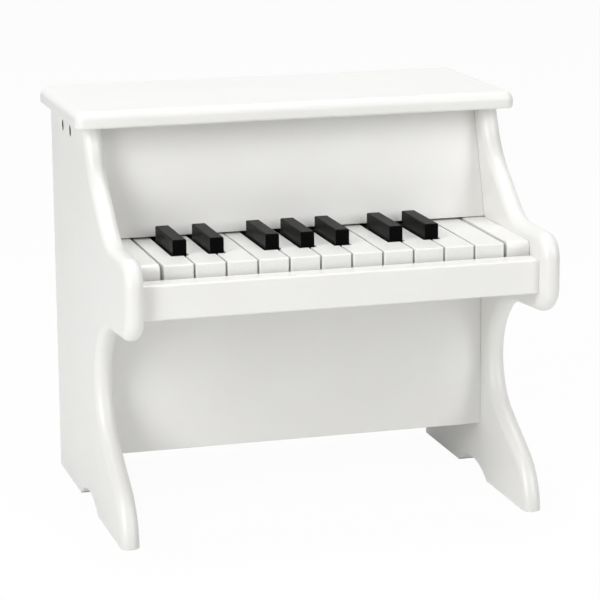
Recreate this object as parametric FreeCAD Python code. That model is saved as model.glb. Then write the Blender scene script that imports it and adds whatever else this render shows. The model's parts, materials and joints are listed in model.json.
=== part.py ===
import FreeCAD, Part
import math
import os

# A child's upright piano with eighteen keys, in millimetres.
# +X runs along the keyboard towards the high notes, +Y towards the back, +Z up.
# The origin is on the floor, under the middle of the whole piano.

# Case boards
CASE_WIDTH = 298.0
SIDE_THICKNESS = 13.0
SIDE_TOP = 270.0
SIDE_BACK = 119.0
SIDE_EDGE_ROUND = 6.0
LID_OVERHANG = 7.5
LID_THICKNESS = 12.0
LID_FRONT = -13.5
LID_BACK = 125.0
LID_TOP_ROUND = 6.4
LID_BOTTOM_ROUND = 2.0
LID_CORNER_ROUND = 6.6
CASE_FLOOR = 40.0
BOARD_THICKNESS = 8.0
BACK_THICKNESS = 4.0
BACK_REBATE = 6.0
BACK_FRONT_FACE = 113.0

# Side panel outline: arm, waist, foot and the arch between the two feet
PANEL_TOP_FRONT = 1.0
SWEEP_CORNER = (-11.0, 241.6)
ARM_TOP = 201.0
ARM_TOP_REAR = -61.5
ARM_FRONT = -125.0
ARM_BOTTOM = 147.3
WAIST_TOP = (-40.4, 141.4)
WAIST_LOW = (-2.6, 80.8)
TOE_CORNER = (-93.3, 26.7)
TOE = -95.5
SWEEP_RADIUS = 65.0
ARM_REAR_RADIUS = 42.0
ARM_TOP_RADIUS = 17.0
ARM_BOTTOM_RADIUS = 19.5
WAIST_TOP_RADIUS = 54.0
WAIST_LOW_RADIUS = 42.0
TOE_RADIUS = 48.0
ARCH_FRONT = -17.0
ARCH_BACK = 43.0
ARCH_RISE = 10.0

# Front panels and the boards round the keys
LOWER_PANEL_FRONT = -3.0
UPPER_PANEL_BOTTOM = (-8.3, 193.4)
UPPER_PANEL_TOP_FRONT = 16.3
UPPER_PANEL_DEPTH = 8.4
BED_BOTTOM = 160.0
BED_TOP = 168.0
BED_BACK = 81.0
SLIP_FRONT = -116.0
SLIP_BACK = -101.0
SLIP_TOP = 183.5
SLIP_EDGE_ROUND = 1.5
BLOCK_TOP = 193.0
BLOCK_BACK = 16.0
BLOCK_EDGE_ROUND = 5.0

# Keys, numbered from the left
WHITE_KEYS = 11
KEY_PITCH = 21.5
KEY_GAP = 1.3
END_GAP = 2.3
KEY_FRONT = -98.0
KEY_TAIL = 63.0
KEY_TOP = 192.2
KEY_THICKNESS = 12.0
KEY_EDGE_ROUND = 1.2
NOTCH_FRONT = -70.0
BLACK_FRONT = -68.5
BLACK_REAR = -17.0
BLACK_WIDTH = 9.5
BLACK_RISE = 10.5
BLACK_EDGE_ROUND = 0.9
BLACK_CLEARANCE = 1.2
# How far each black key stands off the line between its two white keys, by place in the octave
BLACK_OFFSETS = {0: -3.2, 1: 0.8, 3: -4.0, 4: -1.0, 5: 2.0}
OCTAVE = 7

# Key pivot, spring comb and felts
PIVOT_Y = 4.0
PIVOT_Z = KEY_TOP - KEY_THICKNESS / 2
PIVOT_WIRE = 3.0
RUNNING_CLEARANCE = 0.05
WIRE_SEAT = 8.0
KEY_DIP = 6.0
REST_GAP = 0.35
BALANCE_FRONT = -3.0
BALANCE_BACK = 14.0
BALANCE_TOP = 176.0
COMB_SHEET = 0.5
COMB_FINGER = 5.0
COMB_TIP_FRONT = -7.0
COMB_TIP_BACK = -4.0
COMB_TIP_GAP = 1.0
COMB_ROOT = 1.0
COMB_BACK = 13.0
COMB_SCREW_Y = 9.0
FRONT_FELT = (-97.0, -85.0)
BACK_FELT = (48.0, 62.0)

# Hammers and their rail
HAMMER_Y = 70.0
HAMMER_Z = 197.0
HAMMER_WIRE = 2.0
HUB_RADIUS = 3.2
HUB_WIDTH = 6.0
FOOT_REACH = 9.0
FOOT_DROP = 2.5
FOOT_RADIUS = 1.9
SHANK_WIDTH = 4.0
HAMMER_RATIO = 6.2
HEAD_Y = 66.3
HEAD_Z = 238.0
HEAD_RADIUS = 4.0
HEAD_HEIGHT = 11.0
RAIL_FRONT = 75.0
LEDGE_FRONT = 44.0
LEDGE_TOP = 176.5
LUG_WIDTH = 2.4
LUG_RADIUS = 3.4

# Top rail, chime bar and its tuned rods
TOP_RAIL_FRONT = 44.0
TOP_RAIL_BACK = 82.0
TOP_RAIL_BOTTOM = 250.0
CHIME_BAR_HALF = 124.0
CHIME_BAR_DEPTH = 12.0
CHIME_BAR_TOP = 268.0
ROD_DIAMETER = 4.0
ROD_LONGEST = 150.0
ROD_SEAT = 8.0
STEPS_PER_HALVING = 24.0

# Fasteners: shank diameter, shank length, head diameter, head height
SIDE_SCREW = (3.5, 32.0, 7.0, 2.4)
SIDE_SCREW_PLACES = ((49.7, 260.0), (76.3, 260.0))
SIDE_COUNTERBORE = (8.0, 5.0)
BACK_SCREW = (2.6, 14.0, 5.0, 1.4)
BACK_SCREW_HEIGHTS = (62.0, 128.0, 194.0, 256.0)
COMB_SCREW = (2.4, 8.0, 4.6, 1.3)
COMB_SCREW_PLACES = (-93.0, 0.0, 93.0)
CHIME_BOLT = (5.0, 28.0, 9.0, 3.5)
CHIME_BOLT_PLACES = (-88.0, 0.0, 88.0)
CHIME_BOLT_Z = 263.0
CHIME_BOLT_HOLE = 5.6

HALF_OUTER = CASE_WIDTH / 2
HALF_INNER = HALF_OUTER - SIDE_THICKNESS
KEYS_LEFT = -WHITE_KEYS * KEY_PITCH / 2
KEY_BOTTOM = KEY_TOP - KEY_THICKNESS
DIP_ANGLE = math.asin(KEY_DIP / (PIVOT_Y - KEY_FRONT))
BLOCK_INNER = END_GAP - KEY_GAP / 2 - KEYS_LEFT
ROD_Y = TOP_RAIL_BACK + CHIME_BAR_DEPTH / 2

ALONG_X = FreeCAD.Vector(1, 0, 0)
ALONG_Y = FreeCAD.Vector(0, 1, 0)
ALONG_Z = FreeCAD.Vector(0, 0, 1)


def box(x_span, y_span, z_span):
    """A block between the given low and high limits."""
    size = [high - low for low, high in (x_span, y_span, z_span)]
    return Part.makeBox(*size, FreeCAD.Vector(x_span[0], y_span[0], z_span[0]))


def cylinder(diameter, length, start, direction):
    """A round bar of the given length from a start point."""
    return Part.makeCylinder(diameter / 2, length, FreeCAD.Vector(*start), direction)


def outline(corners):
    """A closed YZ wire through (y, z, radius) corners, each turned by a tangent arc."""
    points = [FreeCAD.Vector(0, y, z) for y, z, _ in corners]
    edges = []
    last = None
    first = None
    for index, (_, _, radius) in enumerate(corners):
        corner = points[index]
        back = (points[index - 1] - corner).normalize()
        ahead = (points[(index + 1) % len(points)] - corner).normalize()
        half = back.getAngle(ahead) / 2
        run = radius / math.tan(half)
        start = corner + back * run
        end = corner + ahead * run
        if last is not None:
            edges.append(Part.LineSegment(last, start).toShape())
        else:
            first = start
        if radius > 0:
            inward = (back + ahead).normalize()
            middle = corner + inward * (radius / math.sin(half) - radius)
            edges.append(Part.Arc(start, middle, end).toShape())
        last = end
    edges.append(Part.LineSegment(last, first).toShape())
    return Part.Wire(edges)


def slab(wire, x_low, x_high):
    """The YZ wire made solid between two places along X."""
    solid = Part.Face(wire).extrude(ALONG_X * (x_high - x_low))
    solid.translate(ALONG_X * x_low)
    return solid


def sharp(points):
    """Plain corners for outline()."""
    return [(y, z, 0.0) for y, z in points]


def rounded(shape, radius, wanted):
    """The shape with every edge that the test picks rounded over."""
    return shape.makeFillet(radius, [edge for edge in shape.Edges if wanted(edge.BoundBox)])


def flat(low, high):
    """True where a span has no length."""
    return abs(high - low) < 1e-4


def near(value, target):
    """True where two places are the same."""
    return abs(value - target) < 1e-4


# Where the keys lie across the keyboard

def black_centres():
    """Middle of each black key, by the number of the white key on its left."""
    centres = {}
    for left in range(WHITE_KEYS - 1):
        if left % OCTAVE in BLACK_OFFSETS:
            gap_line = KEYS_LEFT + (left + 1) * KEY_PITCH
            centres[left] = gap_line + BLACK_OFFSETS[left % OCTAVE]
    return centres


def white_spans(number):
    """The wide front span and the narrow tail span of one white key."""
    front = [KEYS_LEFT + number * KEY_PITCH + KEY_GAP / 2]
    front.append(front[0] + KEY_PITCH - KEY_GAP)
    tail = list(front)
    notch = BLACK_WIDTH / 2 + BLACK_CLEARANCE
    blacks = black_centres()
    if number - 1 in blacks:
        tail[0] = blacks[number - 1] + notch
    if number in blacks:
        tail[1] = blacks[number] - notch
    return front, tail


def note_centres():
    """Middle of every key's tail, low to high, where its hammer and rod stand."""
    centres = [sum(white_spans(number)[1]) / 2 for number in range(WHITE_KEYS)]
    return sorted(centres + list(black_centres().values()))


# Case

def side_outline():
    """Sweep down from the lid, arm, waist, toe and the two feet."""
    return outline([
        (SIDE_BACK, SIDE_TOP, 0.0),
        (PANEL_TOP_FRONT, SIDE_TOP, 0.0),
        (*SWEEP_CORNER, SWEEP_RADIUS),
        (ARM_TOP_REAR, ARM_TOP, ARM_REAR_RADIUS),
        (ARM_FRONT, ARM_TOP, ARM_TOP_RADIUS),
        (ARM_FRONT, ARM_BOTTOM, ARM_BOTTOM_RADIUS),
        (*WAIST_TOP, WAIST_TOP_RADIUS),
        (*WAIST_LOW, WAIST_LOW_RADIUS),
        (*TOE_CORNER, TOE_RADIUS),
        (TOE, 0.0, 0.0),
        (SIDE_BACK, 0.0, 0.0),
    ])


def side_panel(side):
    """One scrolled side board: -1 is the left one and 1 the right one."""
    low, high = sorted((side * HALF_INNER, side * HALF_OUTER))
    panel = slab(side_outline(), low, high)

    def on_front(limits):
        level = flat(limits.ZMin, limits.ZMax)
        on_back = near(limits.YMin, SIDE_BACK)
        outer_ends = near(limits.ZMin, 0.0) and level or near(limits.ZMin, SIDE_TOP)
        return flat(limits.XMin, limits.XMax) and not on_back and not outer_ends

    panel = rounded(panel, SIDE_EDGE_ROUND, on_front)
    half_arch = (ARCH_BACK - ARCH_FRONT) / 2
    arch_radius = (half_arch ** 2 + ARCH_RISE ** 2) / (2 * ARCH_RISE)
    arch_middle = (ARCH_BACK + ARCH_FRONT) / 2
    arch_start = (low, arch_middle, ARCH_RISE - arch_radius)
    panel = panel.cut(cylinder(2 * arch_radius, SIDE_THICKNESS, arch_start, ALONG_X))
    rebate = sorted((side * HALF_INNER, side * (HALF_INNER + BACK_REBATE)))
    panel = panel.cut(box(rebate, (BACK_FRONT_FACE, SIDE_BACK), (CASE_FLOOR, SIDE_TOP)))
    bore, depth = SIDE_COUNTERBORE
    for y, z in SIDE_SCREW_PLACES:
        face = (side * HALF_OUTER, y, z)
        panel = panel.cut(cylinder(bore, depth, face, ALONG_X * -side))
        panel = panel.cut(cylinder(SIDE_SCREW[0], SIDE_THICKNESS, face, ALONG_X * -side))
    for z in BACK_SCREW_HEIGHTS:
        panel = panel.cut(back_screw_hole(side, z))
    return panel


def lid():
    """Top board with rounded corners, a well rounded top edge and an eased lower one."""
    half = HALF_OUTER + LID_OVERHANG
    top = SIDE_TOP + LID_THICKNESS
    board = box((-half, half), (LID_FRONT, LID_BACK), (SIDE_TOP, top))
    board = rounded(board, LID_CORNER_ROUND, lambda limits: not flat(limits.ZMin, limits.ZMax))
    board = rounded(board, LID_TOP_ROUND, lambda limits: near(limits.ZMin, top))
    return rounded(board, LID_BOTTOM_ROUND, lambda limits: near(limits.ZMax, SIDE_TOP))


def upper_front_panel():
    """Sloping board above the keys."""
    foot_y, foot_z = UPPER_PANEL_BOTTOM
    wire = outline(sharp([
        (foot_y, foot_z),
        (UPPER_PANEL_TOP_FRONT, SIDE_TOP),
        (UPPER_PANEL_TOP_FRONT + UPPER_PANEL_DEPTH, SIDE_TOP),
        (foot_y + UPPER_PANEL_DEPTH, foot_z),
    ]))
    return slab(wire, -HALF_INNER, HALF_INNER)


def lower_front_panel():
    """Upright board below the keyboard."""
    depth = (LOWER_PANEL_FRONT, LOWER_PANEL_FRONT + BOARD_THICKNESS)
    return box((-HALF_INNER, HALF_INNER), depth, (CASE_FLOOR, BED_BOTTOM))


def bottom_board():
    """Floor of the case, between the front panel and the back."""
    depth = (LOWER_PANEL_FRONT + BOARD_THICKNESS, BACK_FRONT_FACE)
    return box((-HALF_INNER, HALF_INNER), depth, (CASE_FLOOR, CASE_FLOOR + BOARD_THICKNESS))


def back_screw_hole(side, z):
    """Pilot hole of one back screw, from the outside of the back board."""
    middle = side * (HALF_INNER + BACK_REBATE / 2)
    start = (middle, BACK_FRONT_FACE + BACK_THICKNESS, z)
    return cylinder(BACK_SCREW[0], BACK_SCREW[1], start, -ALONG_Y)


def back_panel():
    """Thin board let into the rebates of the two sides."""
    half = HALF_INNER + BACK_REBATE
    depth = (BACK_FRONT_FACE, BACK_FRONT_FACE + BACK_THICKNESS)
    board = box((-half, half), depth, (CASE_FLOOR, SIDE_TOP))
    for z in BACK_SCREW_HEIGHTS:
        board = board.cut(back_screw_hole(-1, z)).cut(back_screw_hole(1, z))
    return board


# Keyboard frame

def key_bed():
    """Shelf that carries the keyboard."""
    return box((-HALF_INNER, HALF_INNER), (SLIP_BACK, BED_BACK), (BED_BOTTOM, BED_TOP))


def key_slip():
    """Plain rail across the front of the keyboard."""
    board = box((-HALF_INNER, HALF_INNER), (SLIP_FRONT, SLIP_BACK), (BED_BOTTOM, SLIP_TOP))

    def along_front(limits):
        return near(limits.YMax, SLIP_FRONT) and not flat(limits.XMin, limits.XMax)

    return rounded(board, SLIP_EDGE_ROUND, along_front)


def key_block(side):
    """Cheek beside the outermost key, which seats one end of the pivot wire."""
    span = sorted((side * BLOCK_INNER, side * HALF_INNER))
    block = box(span, (KEY_FRONT, BLOCK_BACK), (BED_TOP, BLOCK_TOP))

    def top_front(limits):
        return near(limits.YMax, KEY_FRONT) and near(limits.ZMin, BLOCK_TOP)

    block = rounded(block, BLOCK_EDGE_ROUND, top_front)
    seat = (side * BLOCK_INNER, PIVOT_Y, PIVOT_Z)
    return block.cut(cylinder(PIVOT_WIRE, WIRE_SEAT, seat, ALONG_X * side))


def balance_rail():
    """Strip under the key pivots, which carries the spring comb."""
    rail = box((-BLOCK_INNER, BLOCK_INNER), (BALANCE_FRONT, BALANCE_BACK), (BED_TOP, BALANCE_TOP))
    return rail.cut(screw_shanks(comb_screw_starts(), COMB_SCREW, -ALONG_Z))


def key_spring_comb():
    """Sheet metal comb, one finger bearing up under each key just in front of its pivot."""
    tip = KEY_BOTTOM - COMB_TIP_GAP - COMB_SHEET
    lower = [
        (COMB_ROOT, BALANCE_TOP),
        (COMB_TIP_BACK, tip),
        (COMB_TIP_FRONT, tip),
    ]
    upper = [(y, z + COMB_SHEET) for y, z in reversed(lower)]
    finger = outline(sharp(lower + upper))
    notes = note_centres()
    ends = (notes[0] - COMB_FINGER / 2, notes[-1] + COMB_FINGER / 2)
    comb = box(ends, (COMB_ROOT, COMB_BACK), (BALANCE_TOP, BALANCE_TOP + COMB_SHEET))
    comb = comb.fuse([slab(finger, x - COMB_FINGER / 2, x + COMB_FINGER / 2) for x in notes])
    return comb.removeSplitter().cut(screw_shanks(comb_screw_starts(), COMB_SCREW, -ALONG_Z))


def key_pivot_wire():
    """Steel wire through all the keys."""
    half = BLOCK_INNER + WIRE_SEAT
    return cylinder(PIVOT_WIRE, 2 * half, (-half, PIVOT_Y, PIVOT_Z), ALONG_X)


def key_felts():
    """Felt strips that stop the keys: under the fronts when pressed, under the tails at rest."""
    front, back = FRONT_FELT
    pressed = KEY_BOTTOM - (PIVOT_Y - front) * math.tan(DIP_ANGLE) - REST_GAP
    across = (-BLOCK_INNER, BLOCK_INNER)
    stop = box(across, FRONT_FELT, (BED_TOP, pressed))
    rest = box(across, BACK_FELT, (LEDGE_TOP, KEY_BOTTOM - REST_GAP))
    return Part.makeCompound([stop, rest])


# Keys

def key_bore(x_low, x_high):
    """Hole through a key for the pivot wire, with running clearance."""
    bore = PIVOT_WIRE + 2 * RUNNING_CLEARANCE
    return cylinder(bore, x_high - x_low, (x_low, PIVOT_Y, PIVOT_Z), ALONG_X)


def white_key(number):
    """One white key: wide front, notches beside the black keys and a narrow tail."""
    front, tail = white_spans(number)
    depth = (KEY_FRONT, NOTCH_FRONT)
    height = (KEY_BOTTOM, KEY_TOP)
    key = box(front, depth, height).fuse(box(tail, (NOTCH_FRONT, KEY_TAIL), height))
    key = key.removeSplitter()

    def front_edges(limits):
        top = near(limits.ZMin, KEY_TOP)
        upright = not flat(limits.ZMin, limits.ZMax)
        return near(limits.YMax, KEY_FRONT) and (top or upright)

    key = rounded(key, KEY_EDGE_ROUND, front_edges)
    return key.cut(key_bore(*tail))


def black_key(middle):
    """One black key: a raised, eased block on a lever that runs back like a white key's tail."""
    span = (middle - BLACK_WIDTH / 2, middle + BLACK_WIDTH / 2)
    lever = box(span, (BLACK_FRONT, KEY_TAIL), (KEY_BOTTOM, KEY_TOP))
    raised = box(span, (BLACK_FRONT, BLACK_REAR), (KEY_TOP, KEY_TOP + BLACK_RISE))
    key = lever.fuse(raised).removeSplitter()
    key = rounded(key, BLACK_EDGE_ROUND, lambda limits: near(limits.ZMin, KEY_TOP + BLACK_RISE))
    return key.cut(key_bore(*span))


# Hammers

def hammer(middle):
    """One moulded hammer: hub on the wire, foot over the key's tail, shank and round head.

    The head leans forward at rest by the hammer's swing, so that it meets its rod squarely.
    """
    hub = cylinder(2 * HUB_RADIUS, HUB_WIDTH, (middle - HUB_WIDTH / 2, HAMMER_Y, HAMMER_Z), ALONG_X)
    half = SHANK_WIDTH / 2
    low, high = middle - half, middle + half
    foot_y = HAMMER_Y - FOOT_REACH
    foot_z = HAMMER_Z - FOOT_DROP
    toe = cylinder(2 * FOOT_RADIUS, SHANK_WIDTH, (low, foot_y, foot_z), ALONG_X)
    arm = slab(outline(sharp([
        (foot_y, foot_z),
        (HAMMER_Y, HAMMER_Z),
        (HAMMER_Y, HAMMER_Z + HUB_RADIUS),
        (foot_y, foot_z + FOOT_RADIUS),
    ])), low, high)
    shank = slab(outline(sharp([
        (HAMMER_Y - HUB_RADIUS, HAMMER_Z),
        (HAMMER_Y + HUB_RADIUS, HAMMER_Z),
        (HEAD_Y + half, HEAD_Z),
        (HEAD_Y - half, HEAD_Z),
    ])), low, high)
    swing = HAMMER_RATIO * DIP_ANGLE
    lean = FreeCAD.Vector(0, -math.sin(swing), math.cos(swing))
    head_foot = FreeCAD.Vector(middle, HEAD_Y, HEAD_Z) - lean * (HEAD_HEIGHT / 2)
    head = cylinder(2 * HEAD_RADIUS, HEAD_HEIGHT, head_foot, lean)
    body = hub.fuse([toe, arm, shank, head]).removeSplitter()
    bore = HAMMER_WIRE + 2 * RUNNING_CLEARANCE
    return body.cut(cylinder(bore, HUB_WIDTH, (middle - HUB_WIDTH / 2, HAMMER_Y, HAMMER_Z), ALONG_X))


def lug_places():
    """Places of the rail's lugs: between neighbouring hammers and outside the two end ones."""
    notes = note_centres()
    inner = [(left + right) / 2 for left, right in zip(notes, notes[1:])]
    first = notes[0] - (inner[0] - notes[0])
    last = notes[-1] + (notes[-1] - inner[-1])
    return [first] + inner + [last]


def hammer_rail():
    """Rail behind the hammers, with a ledge under the key tails and a lug each side of a hammer."""
    rail_top = HAMMER_Z + LUG_RADIUS
    rail = slab(outline(sharp([
        (LEDGE_FRONT, BED_TOP),
        (BED_BACK, BED_TOP),
        (BED_BACK, rail_top),
        (RAIL_FRONT, rail_top),
        (RAIL_FRONT, LEDGE_TOP),
        (LEDGE_FRONT, LEDGE_TOP),
    ])), -HALF_INNER, HALF_INNER)
    lugs = []
    for x in lug_places():
        start = x - LUG_WIDTH / 2
        eye = cylinder(2 * LUG_RADIUS, LUG_WIDTH, (start, HAMMER_Y, HAMMER_Z), ALONG_X)
        depth = (HAMMER_Y, RAIL_FRONT)
        web = box((start, x + LUG_WIDTH / 2), depth, (HAMMER_Z - LUG_RADIUS, HAMMER_Z + LUG_RADIUS))
        lugs += [eye, web]
    return rail.fuse(lugs).removeSplitter().cut(hammer_pivot_wire())


def hammer_pivot_wire():
    """Steel wire through the lugs and the hammers."""
    places = lug_places()
    start = (places[0] - LUG_WIDTH / 2, HAMMER_Y, HAMMER_Z)
    return cylinder(HAMMER_WIRE, places[-1] - places[0] + LUG_WIDTH, start, ALONG_X)


# Chimes

def top_rail():
    """Rail under the lid, screwed through both sides, which carries the chime bar."""
    depth = (TOP_RAIL_FRONT, TOP_RAIL_BACK)
    rail = box((-HALF_INNER, HALF_INNER), depth, (TOP_RAIL_BOTTOM, SIDE_TOP))
    return rail.cut([side_screws(), chime_bolts()])


def chime_bar():
    """Cast bar that grips the upper ends of the rods."""
    depth = (TOP_RAIL_BACK, TOP_RAIL_BACK + CHIME_BAR_DEPTH)
    bar = box((-CHIME_BAR_HALF, CHIME_BAR_HALF), depth, (TOP_RAIL_BOTTOM, CHIME_BAR_TOP))
    bar = rounded(bar, CHIME_BAR_DEPTH / 4, lambda limits: not flat(limits.ZMin, limits.ZMax))
    starts = chime_bolt_starts()
    holes = [cylinder(CHIME_BOLT_HOLE, CHIME_BAR_DEPTH, start, -ALONG_Y) for start in starts]
    return bar.cut([chime_rods()] + holes)


def chime_rods():
    """Tuned steel rods, shorter by the same ratio for each note."""
    rods = []
    for step, x in enumerate(note_centres()):
        length = ROD_LONGEST * 2 ** (-step / STEPS_PER_HALVING) + ROD_SEAT
        rods.append(cylinder(ROD_DIAMETER, length, (x, ROD_Y, TOP_RAIL_BOTTOM + ROD_SEAT), -ALONG_Z))
    return Part.makeCompound(rods)


# Fasteners

def screw(start, direction, sizes):
    """A cheese-headed fastener whose head sits on the start point."""
    shank, length, head, height = sizes
    body = cylinder(shank, length, start, direction)
    top = FreeCAD.Vector(*start) - direction * height
    return body.fuse(cylinder(head, height, top, direction)).removeSplitter()


def screws(starts, direction, sizes):
    """Several like fasteners as separate solids."""
    return Part.makeCompound([screw(start, direction, sizes) for start in starts])


def screw_shanks(starts, sizes, direction):
    """The holes that several like fasteners fill."""
    return Part.makeCompound([cylinder(sizes[0], sizes[1], start, direction) for start in starts])


def comb_screw_starts():
    """Where the comb's screws bear on it."""
    return [(x, COMB_SCREW_Y, BALANCE_TOP + COMB_SHEET) for x in COMB_SCREW_PLACES]


def comb_screws():
    """Screws that hold the spring comb down."""
    return screws(comb_screw_starts(), -ALONG_Z, COMB_SCREW)


def side_screws():
    """Screws at the bottom of the counterbores in both sides."""
    seat = HALF_OUTER - SIDE_COUNTERBORE[1]
    left = screws([(-seat, y, z) for y, z in SIDE_SCREW_PLACES], ALONG_X, SIDE_SCREW)
    right = screws([(seat, y, z) for y, z in SIDE_SCREW_PLACES], -ALONG_X, SIDE_SCREW)
    return Part.makeCompound(left.Solids + right.Solids)


def back_panel_screws():
    """Screws through the back board into the sides."""
    middle = HALF_INNER + BACK_REBATE / 2
    face = BACK_FRONT_FACE + BACK_THICKNESS
    starts = [(side * middle, face, z) for side in (-1, 1) for z in BACK_SCREW_HEIGHTS]
    return screws(starts, -ALONG_Y, BACK_SCREW)


def chime_bolt_starts():
    """Where the heads of the chime bar's bolts bear on it."""
    return [(x, TOP_RAIL_BACK + CHIME_BAR_DEPTH, CHIME_BOLT_Z) for x in CHIME_BOLT_PLACES]


def chime_bolts():
    """Bolts from behind, through the chime bar into the top rail."""
    return screws(chime_bolt_starts(), -ALONG_Y, CHIME_BOLT)


def all_pieces():
    """Every node's name and solid."""
    pieces = {
        "left_side_panel": side_panel(-1),
        "right_side_panel": side_panel(1),
        "lid": lid(),
        "upper_front_panel": upper_front_panel(),
        "lower_front_panel": lower_front_panel(),
        "bottom_board": bottom_board(),
        "back_panel": back_panel(),
        "key_bed": key_bed(),
        "key_slip": key_slip(),
        "left_key_block": key_block(-1),
        "right_key_block": key_block(1),
        "balance_rail": balance_rail(),
        "key_spring_comb": key_spring_comb(),
        "key_pivot_wire": key_pivot_wire(),
        "key_felts": key_felts(),
        "hammer_rail": hammer_rail(),
        "hammer_pivot_wire": hammer_pivot_wire(),
        "top_rail": top_rail(),
        "chime_bar": chime_bar(),
        "chime_rods": chime_rods(),
        "chime_bolts": chime_bolts(),
        "side_screws": side_screws(),
        "back_panel_screws": back_panel_screws(),
        "comb_screws": comb_screws(),
    }
    for number in range(WHITE_KEYS):
        pieces[f"white_key_{number + 1:02d}"] = white_key(number)
    for number, middle in enumerate(black_centres().values()):
        pieces[f"black_key_{number + 1:02d}"] = black_key(middle)
    for number, middle in enumerate(note_centres()):
        pieces[f"hammer_{number + 1:02d}"] = hammer(middle)
    return pieces


os.makedirs("parts", exist_ok=True)
for name, solid in all_pieces().items():
    solid.exportStep(f"parts/{name}.step")
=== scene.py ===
import json
import math

import bmesh
import bpy
from bpy.props import FloatProperty, FloatVectorProperty, IntProperty, PointerProperty
from mathutils import Matrix, Vector

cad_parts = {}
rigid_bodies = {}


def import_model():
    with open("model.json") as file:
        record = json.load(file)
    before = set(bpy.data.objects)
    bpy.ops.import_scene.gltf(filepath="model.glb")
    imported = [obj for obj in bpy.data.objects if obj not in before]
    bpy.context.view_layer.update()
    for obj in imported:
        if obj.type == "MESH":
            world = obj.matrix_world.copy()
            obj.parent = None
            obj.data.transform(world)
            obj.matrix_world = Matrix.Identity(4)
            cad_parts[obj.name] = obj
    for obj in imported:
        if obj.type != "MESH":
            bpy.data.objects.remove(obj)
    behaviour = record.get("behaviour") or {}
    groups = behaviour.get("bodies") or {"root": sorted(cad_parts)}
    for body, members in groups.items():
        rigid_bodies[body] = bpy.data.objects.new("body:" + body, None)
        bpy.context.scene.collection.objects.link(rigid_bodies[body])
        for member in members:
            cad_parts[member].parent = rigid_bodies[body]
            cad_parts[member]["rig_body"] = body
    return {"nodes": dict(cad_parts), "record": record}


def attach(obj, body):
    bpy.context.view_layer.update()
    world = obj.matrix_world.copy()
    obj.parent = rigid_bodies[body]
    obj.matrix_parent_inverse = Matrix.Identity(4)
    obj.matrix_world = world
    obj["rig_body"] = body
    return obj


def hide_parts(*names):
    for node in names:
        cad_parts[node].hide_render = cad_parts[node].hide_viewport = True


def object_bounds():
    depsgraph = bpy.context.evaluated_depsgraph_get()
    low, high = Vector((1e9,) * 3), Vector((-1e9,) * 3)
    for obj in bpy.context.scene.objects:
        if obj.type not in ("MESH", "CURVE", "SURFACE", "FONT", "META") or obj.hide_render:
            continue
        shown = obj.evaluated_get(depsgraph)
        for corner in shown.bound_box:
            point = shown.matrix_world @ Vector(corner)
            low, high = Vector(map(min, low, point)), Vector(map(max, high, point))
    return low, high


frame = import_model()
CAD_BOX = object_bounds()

bl_info = {
    "name": "Toy Piano",
    "version": (1, 0, 0),
    "blender": (4, 5, 0),
    "location": "3D View > Sidebar > Toy Piano",
    "description": "Finishes a child's upright piano: lacquered case, painted keys, hammers and chimes",
    "category": "Object",
}

MM = 0.001
SLOT_OF = {part["node"]: part["material_slot"] for part in frame["record"]["subparts"]}
WHITE = (1.0, 1.0, 1.0, 1.0)

# Places of the colour sockets on a Mix node, which has one set of sockets for each kind of value
MIX_FACTOR, MIX_FIRST, MIX_SECOND, MIX_COLOUR = 0, 6, 7, 2

# Corners closer than this are one corner, on a CAD node and on what a geometry tree makes
NODE_WELD = 0.001 * MM
TREE_WELD = 0.002 * MM

# Faces of a CAD node that turn by less than this make one flat face
FLAT_TURN = math.radians(0.2)

# Edges that turn by more than this are sharp, on a CAD node and on what a geometry tree makes
NODE_SHARP_TURN = math.radians(35)
TREE_SHARP_TURN = math.radians(40)

# Faces across an eased edge, and how firmly the large faces beside it hold their shading
EASE_STEPS = 2
FLAT_HOLD = 100

# How far a screw hole's faces lie from the middle of its screw, and how deep the lacquer goes into it;
# the faces past the lacquer get the dark raw board, which is partly painted shade
HOLE_REACH = 4.4 * MM
HOLE_LIP = 0.6 * MM

# Shares that shape a screw
RECESS_SPAN = 0.56  # length of the recess, of the head's diameter
RECESS_BAR = 1.2  # height of the bars that cut it, half of it above the head, of the head's height
RECESS_FLOOR = (0.45, 0.6, 1.0)  # length, width and height of a bar at its bottom, of those at its top
POINT_LENGTH = 1.5  # length of the point, of the core's diameter
THREAD_RUN = 0.8  # length of the thread, of the core's straight part
THREAD_FOOT = 0.95  # depth of the thread's lower end, of the core's straight part

# On a ball of radius 1: the least distance from its axis to divide by, and where a rod's top begins
LEAST_REACH = 0.0001
ROD_TOP = 0.01

# Each lamp's place, its width and height, all in metres, and the setting that holds its power
LAMPS = {
    "Key lamp": ((-1.67, -1.09, 1.08), (0.8, 1.7), "key_power"),
    "Fill lamp": ((1.15, -1.65, 1.05), (0.8, 1.6), "fill_power"),
    "Top lamp": ((0.10, 0.18, 2.35), (1.0, 1.0), "top_power"),
}

# The camera stands where the photograph was taken from: a long lens, left of the middle, a little above
CAMERA_PLACE = (-0.4852, -1.7107, 0.5453)
CAMERA_AZIMUTH = -15.9
CAMERA_ELEVATION = 12.84
CAMERA_ROLL = -0.43
SENSOR_WIDTH = 36.0


def linear(hex_colour):
    """An sRGB hex colour as linear red, green, blue and alpha."""
    shares = [int(hex_colour[place:place + 2], 16) / 255 for place in (1, 3, 5)]
    lit = [s / 12.92 if s <= 0.04045 else ((s + 0.055) / 1.055) ** 2.4 for s in shares]
    return (*lit, 1.0)


def per_mm(size):
    """Texture scale at which one feature is the given number of millimetres across."""
    return 1 / (size * MM)


def welded(node):
    """A CAD node's shape, its loose triangles joined."""
    shape = bmesh.new()
    shape.from_mesh(frame["nodes"][node].data)
    bmesh.ops.remove_doubles(shape, verts=shape.verts, dist=NODE_WELD)
    return shape


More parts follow.
